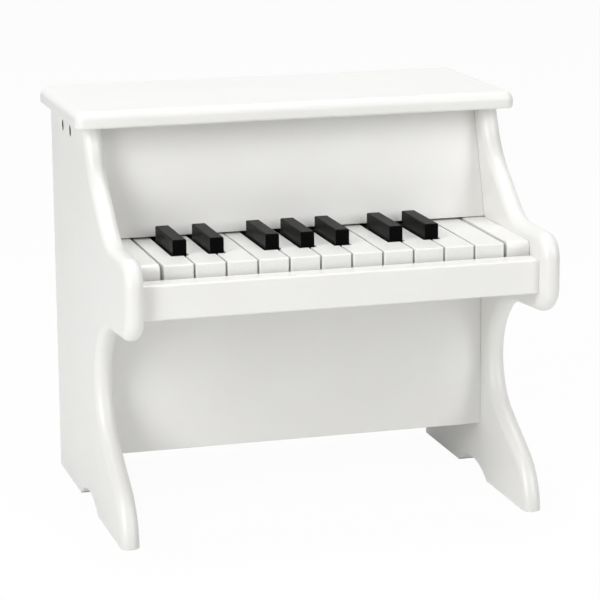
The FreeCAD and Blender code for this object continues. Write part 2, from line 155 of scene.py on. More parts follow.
def boxes_of_solids(node):
    """Lowest and highest corner of each separate solid in a CAD node."""
    shape = welded(node)
    boxes = []
    waiting = set(shape.verts)
    while waiting:
        reached = [waiting.pop()]
        solid = []
        while reached:
            vert = reached.pop()
            solid.append(vert.co)
            beside = {link.other_vert(vert) for link in vert.link_edges} & waiting
            waiting -= beside
            reached.extend(beside)
        low = Vector([min(point[axis] for point in solid) for axis in range(3)])
        high = Vector([max(point[axis] for point in solid) for axis in range(3)])
        boxes.append((low, high))
    shape.free()
    return sorted(boxes, key=lambda corners: tuple(corners[0]))


ROD_BOXES = boxes_of_solids("chime_rods")
ROD_DIAMETER = ROD_BOXES[0][1].x - ROD_BOXES[0][0].x


# Settings that a user would change

def length(name, default, description):
    """A size in millimetres, kept in metres."""
    return FloatProperty(
        name=name, description=description, default=default * MM, min=0.0, precision=5, unit="LENGTH"
    )


def colour(name, hex_colour, description):
    """A paint, wood or metal colour."""
    return FloatVectorProperty(
        name=name, description=description, default=linear(hex_colour), size=4, min=0.0, max=1.0,
        subtype="COLOR",
    )


def share(name, default, description):
    """A share, from none to all."""
    return FloatProperty(
        name=name, description=description, default=default, min=0.0, max=1.0, subtype="FACTOR"
    )


def power(name, default, description):
    """A lamp's power in watts."""
    return FloatProperty(name=name, description=description, default=default, min=0.0, unit="POWER")


class PianoSizes(bpy.types.PropertyGroup):
    """Small sizes that the frame leaves to the finish."""

    board_ease: length("Board Edge", 0.5, "Easing sanded onto the sharp edges of the case boards")
    block_ease: length("Block Edge", 1.0, "Easing sanded onto the blocks beside the keys")
    key_ease: length("Key Edge", 0.45, "Easing sanded onto the sharp edges of the keys")
    inner_ease: length("Inner Edge", 0.3, "Easing on the key bed, the rails, the felts and the casting")
    thin_ease: length("Thin Edge", 0.1, "Easing on sheet metal, wires, hammers and their rail")
    rod_diameter: length("Rod Diameter", ROD_DIAMETER / MM, "Thickness of the tuned rods")
    rod_nose: length("Rod Nose", 0.8, "Height of the rounded end of a tuned rod")
    thread_pitch: length("Thread Pitch", 1.4, "Step of a wood screw's thread")
    thread_depth: length("Thread Depth", 0.35, "Height of a screw's thread above its core")
    recess_width: length("Recess Width", 1.1, "Width of one arm of the cross recess in a screw's head")
    recess_seed: IntProperty(
        name="Recess Seed", description="Chooses how far round each screw was driven", default=4, min=0
    )


class PianoColours(bpy.types.PropertyGroup):
    """Colours of the finishes."""

    lacquer: colour("Lacquer", "#F1F1EF", "White lacquer of the case")
    lacquer_thin: colour("Thin Lacquer", "#EBEAE7", "White lacquer where the coat is thinner")
    key_white: colour("White Key", "#F1F1EF", "Paint of the white keys")
    key_white_worn: colour("White Key Grain", "#E9E9E6", "Paint of the white keys over harder grain")
    key_black: colour("Black Key", "#040404", "Paint of the black keys")
    key_black_grain: colour("Black Key Grain", "#0A0A0A", "Paint of the black keys over harder grain")
    # The raw board's browns are partly the fibre's own colour and partly painted shade, kept dark for
    # the deep screw holes
    hole_fibre_and_shade: colour("Raw Board", "#6A5845", "Pressed wood fibre inside the drilled holes")
    hole_coarse_fibre_and_shade: colour("Dark Raw Board", "#4E4032", "Coarser fibres inside the drilled holes")
    beech: colour("Beech", "#DDBB8F", "Early wood of the inner rails")
    beech_late: colour("Late Beech", "#C79B69", "Late wood of the inner rails")
    beech_fleck: colour("Beech Fleck", "#A9774A", "Short flecks in the beech")
    brass: colour("Brass", "#D9B66C", "Stamped spring sheet")
    steel: colour("Steel", "#BFC1C4", "Drawn wire and tuned rods")
    zinc: colour("Zinc", "#C6C9CE", "Plated screws")
    casting: colour("Casting", "#1D1D1F", "Painted chime bar")
    felt: colour("Felt", "#8C2B2C", "Key felts")
    felt_dark: colour("Dark Felt", "#6E1F22", "Deeper fibres of the key felts")
    hammer: colour("Hammer", "#DAD4C3", "Moulded hammers")
    floor: colour("Floor", "#F4F4F3", "Pale studio floor")


class PianoStage(bpy.types.PropertyGroup):
    """Light, floor and camera."""

    sky: share("Sky", 0.18, "Strength of the even light from all round")
    key_power: power("Key Lamp", 28.0, "Power of the large lamp at the left")
    fill_power: power("Fill Lamp", 13.4, "Power of the lamp at the right")
    top_power: power("Top Lamp", 26.2, "Power of the lamp overhead")
    floor_glow: share("Floor Glow", 0.96, "Share of the floor that shows as plain white")
    floor_mirror: share("Floor Mirror", 0.35, "Share of it that is white in gloss, metal and glass")
    floor_size: FloatProperty(
        name="Floor Size", description="Length of the floor's sides", default=24.0, min=1.0,
        unit="LENGTH",
    )
    lens: FloatProperty(
        name="Lens", description="Focal length of the camera", default=156.0, min=1.0, unit="CAMERA"
    )


# Nodes, for materials and for geometry

def feed(tree, node, inputs):
    """Give a node's inputs their values, or the sockets that feed them."""
    for key, value in inputs.items():
        for source in value if isinstance(value, list) else [value]:
            if isinstance(source, bpy.types.NodeSocket):
                tree.links.new(source, node.inputs[key])
            else:
                node.inputs[key].default_value = source


def add(tree, kind, inputs=None, **settings):
    """Add a node with its settings and links."""
    node = tree.nodes.new(kind)
    for name, value in settings.items():
        setattr(node, name, value)
    feed(tree, node, inputs or {})
    return node


# Finishes, one for each slot of the record and one for the drilled holes, whose dark brown is partly
# painted shade

def scaled(tone, part):
    """A colour made darker or lighter."""
    return (*[part * light for light in tone[:3]], 1.0)


def lay(tree, shader, tones, gloss, relief, more):
    """Lay a finish whose tones, gloss and relief each follow a pattern.

    Tones are a pattern and two colours, gloss is a pattern and two roughnesses, and relief is a
    pattern, a strength and a depth in millimetres.
    """
    pattern, first, second = tones
    tone = add(
        tree, "ShaderNodeMix",
        {MIX_FACTOR: pattern, MIX_FIRST: first, MIX_SECOND: second}, data_type="RGBA",
    )
    pattern, smooth, rough = gloss
    polish = add(tree, "ShaderNodeMapRange", {"Value": pattern, "To Min": smooth, "To Max": rough})
    pattern, strength, depth = relief
    skin = add(
        tree, "ShaderNodeBump",
        {"Height": pattern, "Strength": strength, "Distance": depth * MM},
    )
    feed(tree, shader, {
        "Base Color": tone.outputs[MIX_COLOUR],
        "Roughness": polish.outputs["Result"],
        "Normal": skin.outputs["Normal"],
        **more,
    })


def white_lacquer(tree, shader):
    """Lacquer sprayed on sanded board: an even warm white, a soft gloss and a faint orange peel."""
    colours = bpy.context.scene.piano_colours
    place = add(tree, "ShaderNodeTexCoord").outputs["Object"]
    coat = add(tree, "ShaderNodeTexNoise", {"Vector": place, "Scale": per_mm(55), "Detail": 3.0})
    flow = add(tree, "ShaderNodeTexNoise", {"Vector": place, "Scale": per_mm(14), "Detail": 2.0})
    # Real orange peel is finer than a millimetre, so it is drawn at 2.5 mm to show at all
    peel = add(tree, "ShaderNodeTexNoise", {"Vector": place, "Scale": per_mm(2.5), "Detail": 1.0})
    lay(
        tree, shader,
        tones=(coat.outputs["Fac"], colours.lacquer, colours.lacquer_thin),
        gloss=(flow.outputs["Fac"], 0.30, 0.42),
        relief=(peel.outputs["Fac"], 0.5, 0.03),
        more={"IOR": 1.5, "Coat Weight": 0.25, "Coat Roughness": 0.12},
    )


def lengthwise_grain(tree, width, run):
    """A pattern drawn out along the keys, as grain is, with its width and its run in millimetres."""
    place = add(tree, "ShaderNodeTexCoord").outputs["Object"]
    stretch = add(
        tree, "ShaderNodeMapping",
        {"Vector": place, "Scale": (per_mm(width), per_mm(run), per_mm(width))},
    )
    return add(
        tree, "ShaderNodeTexNoise",
        {"Vector": stretch.outputs["Vector"], "Scale": 1.0, "Detail": 3.0, "Roughness": 0.6},
    ).outputs["Fac"]


def white_key_paint(tree, shader):
    """Thin white paint on wooden keys: clean, half matt, with the grain just showing lengthwise."""
    colours = bpy.context.scene.piano_colours
    grain = lengthwise_grain(tree, 1.6, 38)
    lay(
        tree, shader,
        tones=(grain, colours.key_white, colours.key_white_worn),
        gloss=(grain, 0.34, 0.5),
        relief=(grain, 0.4, 0.05),
        more={"IOR": 1.5},
    )


def black_key_paint(tree, shader):
    """Satin black paint on wooden keys: a grey sheen on the tops and faint lengthwise grain."""
    colours = bpy.context.scene.piano_colours
    grain = lengthwise_grain(tree, 1.1, 30)
    lay(
        tree, shader,
        tones=(grain, colours.key_black, colours.key_black_grain),
        gloss=(grain, 0.28, 0.40),
        relief=(grain, 0.5, 0.06),
        more={"IOR": 1.5, "Specular IOR Level": 0.03},
    )


def hole_fibre_and_shade(tree, shader):
    """Pressed wood fibre where a drill has cut the board: matt and finely ragged, its dark brown partly
    the fibre's own colour and partly painted shade of the deep holes.
    """
    colours = bpy.context.scene.piano_colours
    place = add(tree, "ShaderNodeTexCoord").outputs["Object"]
    fibres = add(
        tree, "ShaderNodeTexNoise",
        {"Vector": place, "Scale": per_mm(0.6), "Detail": 4.0},
    ).outputs["Fac"]
    lay(
        tree, shader,
        tones=(fibres, colours.hole_fibre_and_shade, colours.hole_coarse_fibre_and_shade),
        gloss=(fibres, 0.9, 0.9),
        relief=(fibres, 0.8, 0.1),
        more={"Specular IOR Level": 0.3},
    )


def bare_beech(tree, shader):
    """Planed beech, unfinished: pale bands along the board and the short dark flecks of beech."""
    colours = bpy.context.scene.piano_colours
    place = add(tree, "ShaderNodeTexCoord").outputs["Object"]
    along = add(
        tree, "ShaderNodeMapping",
        {"Vector": place, "Scale": (per_mm(160), per_mm(5), per_mm(5))},
    )
    bands = add(
        tree, "ShaderNodeTexNoise",
        {"Vector": along.outputs["Vector"], "Scale": 1.0, "Detail": 4.0, "Distortion": 0.4},
    ).outputs["Fac"]
    wood = add(
        tree, "ShaderNodeMix",
        {MIX_FACTOR: bands, MIX_FIRST: colours.beech, MIX_SECOND: colours.beech_late},
        data_type="RGBA",
    )
    # The flecks of beech are under a millimetre wide and a few millimetres long
    short = add(
        tree, "ShaderNodeMapping",
        {"Vector": place, "Scale": (per_mm(6), per_mm(0.9), per_mm(0.9))},
    )
    ticks = add(
        tree, "ShaderNodeTexNoise",
        {"Vector": short.outputs["Vector"], "Scale": 1.0, "Detail": 1.0},
    ).outputs["Fac"]
    fleck = add(
        tree, "ShaderNodeMapRange",
        {"Value": ticks, "From Min": 0.62, "From Max": 0.74, "To Max": 0.7},
    )
    lay(
        tree, shader,
        tones=(fleck.outputs["Result"], wood.outputs[MIX_COLOUR], colours.beech_fleck),
        gloss=(bands, 0.52, 0.7),
        relief=(ticks, 0.5, 0.05),
        more={"IOR": 1.5},
    )


def metal(tree, shader, tone, smooth, rough, blotch, dent):
    """Bare metal whose polish drifts over blotches, with a fine dented skin, both in millimetres."""
    place = add(tree, "ShaderNodeTexCoord").outputs["Object"]
    drift = add(
        tree, "ShaderNodeTexNoise",
        {"Vector": place, "Scale": per_mm(blotch), "Detail": 3.0},
    ).outputs["Fac"]
    fine = add(tree, "ShaderNodeTexNoise", {"Vector": place, "Scale": per_mm(dent), "Detail": 2.0})
    lay(
        tree, shader,
        tones=(drift, tone, scaled(tone, 0.82)),
        gloss=(drift, smooth, rough),
        relief=(fine.outputs["Fac"], 0.4, 0.02),
        more={"Metallic": 1.0},
    )


def spring_brass(tree, shader):
    """Rolled brass sheet, stamped: warm yellow, half bright, a little dulled by handling."""
    brass = bpy.context.scene.piano_colours.brass
    metal(tree, shader, brass, smooth=0.22, rough=0.4, blotch=9, dent=0.8)


def steel_wire(tree, shader):
    """Drawn steel: a clean grey shine with slight dull patches left from the die."""
    steel = bpy.context.scene.piano_colours.steel
    metal(tree, shader, steel, smooth=0.16, rough=0.34, blotch=6, dent=0.5)


def zinc_screws(tree, shader):
    """Bright zinc plate on steel: pale, slightly blue, softly mottled."""
    zinc = bpy.context.scene.piano_colours.zinc
    metal(tree, shader, zinc, smooth=0.26, rough=0.46, blotch=1.8, dent=0.5)


def cast_iron(tree, shader):
    """Sand casting under black paint: a dull skin with the grain of the mould."""
    casting = bpy.context.scene.piano_colours.casting
    place = add(tree, "ShaderNodeTexCoord").outputs["Object"]
    sand = add(
        tree, "ShaderNodeTexNoise",
        {"Vector": place, "Scale": per_mm(1.1), "Detail": 4.0},
    ).outputs["Fac"]
    lay(
        tree, shader,
        tones=(sand, casting, scaled(casting, 2.2)),
        gloss=(sand, 0.42, 0.66),
        relief=(sand, 0.8, 0.15),
        more={"IOR": 1.5},
    )


def wool_felt(tree, shader):
    """Pressed wool: matt dark red with tangled fibres and a soft rim of light."""
    colours = bpy.context.scene.piano_colours
    place = add(tree, "ShaderNodeTexCoord").outputs["Object"]
    fibres = add(
        tree, "ShaderNodeTexNoise",
        {"Vector": place, "Scale": per_mm(0.7), "Detail": 5.0, "Distortion": 1.5},
    ).outputs["Fac"]
    lay(
        tree, shader,
        tones=(fibres, colours.felt_dark, colours.felt),
        gloss=(fibres, 0.95, 0.95),
        relief=(fibres, 0.9, 0.2),
        more={"Sheen Weight": 0.35},
    )


def hammer_plastic(tree, shader):
    """Moulded ABS: ivory, half gloss, with the fine spark texture of the mould."""
    ivory = bpy.context.scene.piano_colours.hammer
    place = add(tree, "ShaderNodeTexCoord").outputs["Object"]
    spark = add(
        tree, "ShaderNodeTexNoise",
        {"Vector": place, "Scale": per_mm(0.8), "Detail": 2.0},
    ).outputs["Fac"]
    lay(
        tree, shader,
        tones=(spark, ivory, scaled(ivory, 0.9)),
        gloss=(spark, 0.34, 0.5),
        relief=(spark, 0.4, 0.03),
        more={"IOR": 1.53},
    )


FINISHES = {
    "white_lacquer": ("Sprayed white lacquer", white_lacquer),
    "hole_fibre_and_shade": ("Drilled fibreboard", hole_fibre_and_shade),
    "bare_beech": ("Planed beech", bare_beech),
    "white_key_paint": ("White paint on wood", white_key_paint),
    "black_key_paint": ("Satin black paint on wood", black_key_paint),
    "spring_brass": ("Stamped spring brass", spring_brass),
    "steel_wire": ("Drawn steel", steel_wire),
    "zinc_screws": ("Zinc plated steel", zinc_screws),
    "cast_iron": ("Painted iron casting", cast_iron),
    "wool_felt": ("Pressed wool felt", wool_felt),
    "hammer_plastic": ("Moulded ABS", hammer_plastic),
}


def finish(slot):
    """The material of one finish, made the first time that it is wanted."""
    name, paint = FINISHES[slot]
    material = bpy.data.materials.get(name)
    if material is None:
        material = bpy.data.materials.new(name)
        material.use_nodes = True
        paint(material.node_tree, material.node_tree.nodes["Principled BSDF"])
    return material


# Pieces

def evaluated_mesh(piece):
    """A plain mesh of what a piece's modifiers give."""
    graph = bpy.context.evaluated_depsgraph_get()
    return bpy.data.meshes.new_from_object(piece.evaluated_get(graph), depsgraph=graph)


def settle(piece, mesh):
    """Put the finished mesh in a piece and take its modifiers off."""
    piece.modifiers.clear()
    piece.data = mesh


def declare(piece, node):
    """Make a piece stand for its CAD node on the node's body, and hide the node."""
    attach(piece, frame["nodes"][node]["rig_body"])
    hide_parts(node)


def eased(node, ease):
    """A piece made from a CAD node: welded, its flat faces joined and its outer edges eased."""
    shape = welded(node)
    bmesh.ops.dissolve_limit(shape, angle_limit=FLAT_TURN, verts=shape.verts, edges=shape.edges)
    # Sandpaper takes the edges that stand out and leaves the inner corners
    sanded = shape.edges.layers.float.new("bevel_weight_edge")
    for edge in shape.edges:
        edge[sanded] = float(edge.is_convex and edge.calc_face_angle(0.0) > NODE_SHARP_TURN)
    mesh = bpy.data.meshes.new(node + "_finished")
    shape.to_mesh(mesh)
    shape.free()
    mesh.materials.clear()
    mesh.materials.append(finish(SLOT_OF[node]))
    mesh.shade_smooth()
    piece = bpy.data.objects.new(node + "_finished", mesh)
    bpy.context.scene.collection.objects.link(piece)
    edges = piece.modifiers.new("Eased edges", "BEVEL")
    edges.width = ease
    edges.segments = EASE_STEPS
    edges.limit_method = "WEIGHT"
    edges.use_clamp_overlap = False
    # Even widths, because the seams that join a hole's rim to the outline would pull the easing askew
    edges.loop_slide = False
    flats = piece.modifiers.new("Flat faces stay flat", "WEIGHTED_NORMAL")
    flats.weight = FLAT_HOLD
    settle(piece, evaluated_mesh(piece))
    declare(piece, node)
    return piece


def nodes_of(slot):
    """The CAD nodes that have a finish, in order."""
    return sorted(node for node, given in SLOT_OF.items() if given == slot)


def size_tree(name, sizes, seeds=()):
    """An empty geometry tree with the named sizes and seeds as its inputs."""
    tree = bpy.data.node_groups.new(name, "GeometryNodeTree")
    tree.interface.new_socket("Geometry", in_out="INPUT", socket_type="NodeSocketGeometry")
    for label in sizes:
        tree.interface.new_socket(label, in_out="INPUT", socket_type="NodeSocketFloat")
    for label in seeds:
        tree.interface.new_socket(label, in_out="INPUT", socket_type="NodeSocketInt")
    tree.interface.new_socket("Finish", in_out="INPUT", socket_type="NodeSocketMaterial")
    tree.interface.new_socket("Geometry", in_out="OUTPUT", socket_type="NodeSocketGeometry")
    return tree, tree.nodes.new("NodeGroupInput").outputs


def close_tree(tree, instances, material):
    """End a geometry tree: real mesh, finished with its material."""
    real = add(tree, "GeometryNodeRealizeInstances", {"Geometry": instances})
    done = add(
        tree, "GeometryNodeSetMaterial",
        {"Geometry": real.outputs["Geometry"], "Material": material},
    )
    add(tree, "NodeGroupOutput", {"Geometry": done.outputs["Geometry"]})


def grow(node, tree, places, values, attribute):
    """Make a piece with a geometry tree at the given places, in the stead of a CAD node.

    The attribute, a name, a kind, a field and its entries, tells the places apart.
    """
    mesh = bpy.data.meshes.new(node + "_places")
    mesh.from_pydata(places, [], [])
    name, kind, field, entries = attribute
    mesh.attributes.new(name, kind, "POINT").data.foreach_set(field, entries)
    piece = bpy.data.objects.new(node + "_finished", mesh)
    bpy.context.scene.collection.objects.link(piece)
    modifier = piece.modifiers.new(tree.name, "NODES")
    modifier.node_group = tree
    settings = {**values, "Finish": finish(SLOT_OF[node])}
    for socket in tree.interface.items_tree:
        if socket.in_out == "INPUT" and socket.name in settings:
            modifier[socket.identifier] = settings[socket.name]
    solid = evaluated_mesh(piece)
    if not solid.polygons:
        raise RuntimeError(f"{node}: the geometry tree gave no faces")
    solid.shade_smooth()
    solid.set_sharp_from_angle(angle=TREE_SHARP_TURN)
    settle(piece, solid)
    declare(piece, node)


def screw_tree():
    """Screws at points: a domed head with a cross recess, a core, a thread and a point.

    Each point has an attribute "inward", the way that its screw was driven.
    """
    sizes = (
        "Head Diameter", "Head Height", "Core Diameter", "Shank Length", "Thread Pitch", "Thread Depth",
        "Recess Width",
    )
    tree, given = size_tree("Cross recess screws", sizes, seeds=("Seed",))

    # The head starts as a ball and is squared off: the radius and the height each become a square root
    ball = add(tree, "GeometryNodeMeshUVSphere", {"Segments": 32, "Rings": 20, "Radius": 1.0})
    where = add(tree, "GeometryNodeInputPosition").outputs["Position"]
    parts = add(tree, "ShaderNodeSeparateXYZ", {"Vector": where})
    level = add(tree, "ShaderNodeCombineXYZ", {"X": parts.outputs["X"], "Y": parts.outputs["Y"]})
    reach = add(tree, "ShaderNodeVectorMath", {0: level.outputs["Vector"]}, operation="LENGTH")
    apart = add(
        tree, "ShaderNodeMath",
        {0: reach.outputs["Value"], 1: LEAST_REACH}, operation="MAXIMUM",
    )
    widen = add(tree, "ShaderNodeMath", {0: apart.outputs["Value"], 1: -0.5}, operation="POWER")
    radius = add(tree, "ShaderNodeMath", {0: given["Head Diameter"], 1: 0.5}, operation="MULTIPLY")
    spread = add(
        tree, "ShaderNodeMath",
        {0: widen.outputs["Value"], 1: radius.outputs["Value"]}, operation="MULTIPLY",
    )
    upper = add(tree, "ShaderNodeMath", {0: parts.outputs["Z"], 1: 0.0}, operation="MAXIMUM")
    flatter = add(tree, "ShaderNodeMath", {0: upper.outputs["Value"], 1: 0.5}, operation="POWER")
    height = add(
        tree, "ShaderNodeMath",
        {0: flatter.outputs["Value"], 1: given["Head Height"]}, operation="MULTIPLY",
    )
    across = add(
        tree, "ShaderNodeVectorMath",
        {0: level.outputs["Vector"], "Scale": spread.outputs["Value"]}, operation="SCALE",
    )
    rise = add(tree, "ShaderNodeCombineXYZ", {"Z": height.outputs["Value"]})
    domed = add(
        tree, "ShaderNodeVectorMath",
        {0: across.outputs["Vector"], 1: rise.outputs["Vector"]}, operation="ADD",
    )
    dome = add(
        tree, "GeometryNodeSetPosition",
        {"Geometry": ball.outputs["Mesh"], "Position": domed.outputs["Vector"]},
    )
    dome = add(
        tree, "GeometryNodeMergeByDistance",
        {"Geometry": dome.outputs["Geometry"], "Distance": TREE_WELD},
    )

    # Two crossed bars, narrower at the bottom, cut the recess
    span = add(
        tree, "ShaderNodeMath",
        {0: given["Head Diameter"], 1: RECESS_SPAN}, operation="MULTIPLY",
    )
    depth = add(tree, "ShaderNodeMath", {0: given["Head Height"], 1: RECESS_BAR}, operation="MULTIPLY")
    bar_size = add(
        tree, "ShaderNodeCombineXYZ",
        {"X": span.outputs["Value"], "Y": given["Recess Width"], "Z": depth.outputs["Value"]},
    )
    bar = add(tree, "GeometryNodeMeshCube", {"Size": bar_size.outputs["Vector"]})
    below = add(
        tree, "FunctionNodeCompare",
        {"A": parts.outputs["Z"], "B": 0.0}, operation="LESS_THAN",
    )
    narrowed = add(tree, "ShaderNodeVectorMath", {0: where, 1: RECESS_FLOOR}, operation="MULTIPLY")
    tapered = add(
        tree, "GeometryNodeSetPosition",
        {
            "Geometry": bar.outputs["Mesh"],
            "Selection": below.outputs["Result"],
            "Position": narrowed.outputs["Vector"],
        },
    )
    lift = add(tree, "ShaderNodeCombineXYZ", {"Z": given["Head Height"]})
    bars = [
        add(
            tree, "GeometryNodeTransform",
            {
                "Geometry": tapered.outputs["Geometry"],
                "Translation": lift.outputs["Vector"],
                "Rotation": (0.0, 0.0, turn),
            },
        ).outputs["Geometry"]
        for turn in (0.0, math.pi / 2)
    ]
    head = add(
        tree, "GeometryNodeMeshBoolean",
        {"Mesh 1": dome.outputs["Geometry"], "Mesh 2": bars},
        operation="DIFFERENCE", solver="MANIFOLD",
    )

    # The core runs to a point under the head, with the thread wound round it
    core_radius = add(
        tree, "ShaderNodeMath",
        {0: given["Core Diameter"], 1: 0.5}, operation="MULTIPLY",
    )
    point = add(
        tree, "ShaderNodeMath",
        {0: given["Core Diameter"], 1: POINT_LENGTH}, operation="MULTIPLY",
    )
    barrel = add(
        tree, "ShaderNodeMath",
        {0: given["Shank Length"], 1: point.outputs["Value"]}, operation="SUBTRACT",
    )
    core = add(
        tree, "GeometryNodeMeshCylinder",
        {"Vertices": 20, "Radius": core_radius.outputs["Value"], "Depth": barrel.outputs["Value"]},
    )
    half_down = add(
        tree, "ShaderNodeMath",
        {0: barrel.outputs["Value"], 1: -0.5}, operation="MULTIPLY",
    )
    core_drop = add(tree, "ShaderNodeCombineXYZ", {"Z": half_down.outputs["Value"]})
    core = add(
        tree, "GeometryNodeTransform",
        {"Geometry": core.outputs["Mesh"], "Translation": core_drop.outputs["Vector"]},
    )
    tip = add(
        tree, "GeometryNodeMeshCone",
        {
            "Vertices": 20,
            "Radius Top": core_radius.outputs["Value"],
            "Radius Bottom": 0.0,
            "Depth": point.outputs["Value"],
        },
    )
    all_down = add(tree, "ShaderNodeMath", {0: given["Shank Length"], 1: -1.0}, operation="MULTIPLY")
    tip_drop = add(tree, "ShaderNodeCombineXYZ", {"Z": all_down.outputs["Value"]})
    tip = add(
        tree, "GeometryNodeTransform",
        {"Geometry": tip.outputs["Mesh"], "Translation": tip_drop.outputs["Vector"]},
    )
    wound = add(
        tree, "ShaderNodeMath",
        {0: barrel.outputs["Value"], 1: THREAD_RUN}, operation="MULTIPLY",
    )
    turns = add(
        tree, "ShaderNodeMath",
        {0: wound.outputs["Value"], 1: given["Thread Pitch"]}, operation="DIVIDE",
    )
    helix = add(
        tree, "GeometryNodeCurveSpiral",
        {
            "Resolution": 14,
            "Rotations": turns.outputs["Value"],
            "Start Radius": core_radius.outputs["Value"],
            "End Radius": core_radius.outputs["Value"],
            "Height": wound.outputs["Value"],
        },
    )
    ridge = add(
        tree, "GeometryNodeCurvePrimitiveCircle",
        {"Resolution": 4, "Radius": given["Thread Depth"]},
    )
    thread = add(
        tree, "GeometryNodeCurveToMesh",
        {"Curve": helix.outputs["Curve"], "Profile Curve": ridge.outputs["Curve"], "Fill Caps": True},
    )
    thread_down = add(
        tree, "ShaderNodeMath",
        {0: barrel.outputs["Value"], 1: -THREAD_FOOT}, operation="MULTIPLY",
    )
    thread_drop = add(tree, "ShaderNodeCombineXYZ", {"Z": thread_down.outputs["Value"]})
    thread = add(
        tree, "GeometryNodeTransform",
        {"Geometry": thread.outputs["Mesh"], "Translation": thread_drop.outputs["Vector"]},
    )
    whole = add(
        tree, "GeometryNodeMeshBoolean",
        {"Mesh 2": [piece.outputs[0] for piece in (head, core, tip, thread)]},
        operation="UNION", solver="MANIFOLD",
    )
    whole = add(
        tree, "GeometryNodeMergeByDistance",
        {"Geometry": whole.outputs["Mesh"], "Distance": TREE_WELD},
    )

    # Each screw points inward, turned as far round as it happened to be driven
    inward = add(
        tree, "GeometryNodeInputNamedAttribute", {"Name": "inward"}, data_type="FLOAT_VECTOR",
    )
    outward = add(
        tree, "ShaderNodeVectorMath",
        {0: inward.outputs["Attribute"], "Scale": -1.0}, operation="SCALE",
    )
    aim = add(
        tree, "FunctionNodeAlignRotationToVector", {"Vector": outward.outputs["Vector"]}, axis="Z",
    )
    driven = add(
        tree, "FunctionNodeRandomValue",
        {"Min": (0.0, 0.0, 0.0), "Max": (0.0, 0.0, math.pi), "Seed": given["Seed"]},
        data_type="FLOAT_VECTOR",
    )
    roll = add(tree, "FunctionNodeEulerToRotation", {"Euler": driven.outputs["Value"]})
    facing = add(
        tree, "FunctionNodeRotateRotation",
        {"Rotation": aim.outputs["Rotation"], "Rotate By": roll.outputs["Rotation"]},
        rotation_space="LOCAL",
    )
    placed = add(
        tree, "GeometryNodeInstanceOnPoints",
        {
            "Points": given["Geometry"],
            "Instance": whole.outputs["Geometry"],
            "Rotation": facing.outputs["Rotation"],
        },
    )
    close_tree(tree, placed.outputs["Instances"], given["Finish"])
    return tree


def rod_tree():
    """Round rods that hang from points, each as long as its point's attribute "reach" says.

    A rod starts as a ball. Its lower half is flattened into the rounded end, and all of its upper half
    but the pole is brought out to the rim of a flat top.
    """
    tree, given = size_tree("Tuned rods", ("Rod Diameter", "Rod Nose"))
    radius = add(
        tree, "ShaderNodeMath", {0: given["Rod Diameter"], 1: 0.5}, operation="MULTIPLY",
    ).outputs["Value"]
    ball = add(tree, "GeometryNodeMeshUVSphere", {"Segments": 32, "Rings": 12, "Radius": 1.0})
    where = add(tree, "GeometryNodeInputPosition").outputs["Position"]
    parts = add(tree, "ShaderNodeSeparateXYZ", {"Vector": where})
    hangs = add(
        tree, "FunctionNodeCompare",
        {"A": parts.outputs["Z"], "B": ROD_TOP}, operation="LESS_THAN",
    )
    marked = add(
        tree, "GeometryNodeStoreNamedAttribute",
        {"Geometry": ball.outputs["Mesh"], "Name": "hangs", "Value": hangs.outputs["Result"]},
        data_type="FLOAT",
    )
    flat = add(tree, "ShaderNodeCombineXYZ", {"X": radius, "Y": radius, "Z": given["Rod Nose"]})
    nose = add(
        tree, "ShaderNodeVectorMath",
        {0: where, 1: flat.outputs["Vector"]}, operation="MULTIPLY",
    )
    level = add(tree, "ShaderNodeCombineXYZ", {"X": parts.outputs["X"], "Y": parts.outputs["Y"]})
    outward = add(tree, "ShaderNodeVectorMath", {0: level.outputs["Vector"]}, operation="NORMALIZE")
    rim = add(
        tree, "ShaderNodeVectorMath",
        {0: outward.outputs["Vector"], "Scale": radius}, operation="SCALE",
    )
    formed = add(
        tree, "GeometryNodeSwitch",
        {
            "Switch": hangs.outputs["Result"],
            "False": rim.outputs["Vector"],
            "True": nose.outputs["Vector"],
        },
        input_type="VECTOR",
    )
    short = add(
        tree, "GeometryNodeSetPosition",
        {"Geometry": marked.outputs["Geometry"], "Position": formed.outputs["Output"]},
    )
    placed = add(
        tree, "GeometryNodeInstanceOnPoints",
        {"Points": given["Geometry"], "Instance": short.outputs["Geometry"]},
    )
    rods = add(tree, "GeometryNodeRealizeInstances", {"Geometry": placed.outputs["Instances"]})

    # The marked half is let down by what its rod is longer than its nose
    reach = add(tree, "GeometryNodeInputNamedAttribute", {"Name": "reach"}, data_type="FLOAT")
    mark = add(tree, "GeometryNodeInputNamedAttribute", {"Name": "hangs"}, data_type="FLOAT")
    rise = add(
        tree, "ShaderNodeMath",
        {0: given["Rod Nose"], 1: reach.outputs["Attribute"]}, operation="SUBTRACT",
    )
    drop = add(
        tree, "ShaderNodeMath",
        {0: rise.outputs["Value"], 1: mark.outputs["Attribute"]}, operation="MULTIPLY",
    )
    fall = add(tree, "ShaderNodeCombineXYZ", {"Z": drop.outputs["Value"]})
    hung = add(
        tree, "GeometryNodeSetPosition",
        {"Geometry": rods.outputs["Geometry"], "Offset": fall.outputs["Vector"]},
    )
    hung = add(
        tree, "GeometryNodeMergeByDistance",
        {"Geometry": hung.outputs["Geometry"], "Distance": TREE_WELD},
    )
    close_tree(tree, hung.outputs["Geometry"], given["Finish"])
    return tree


# Operators

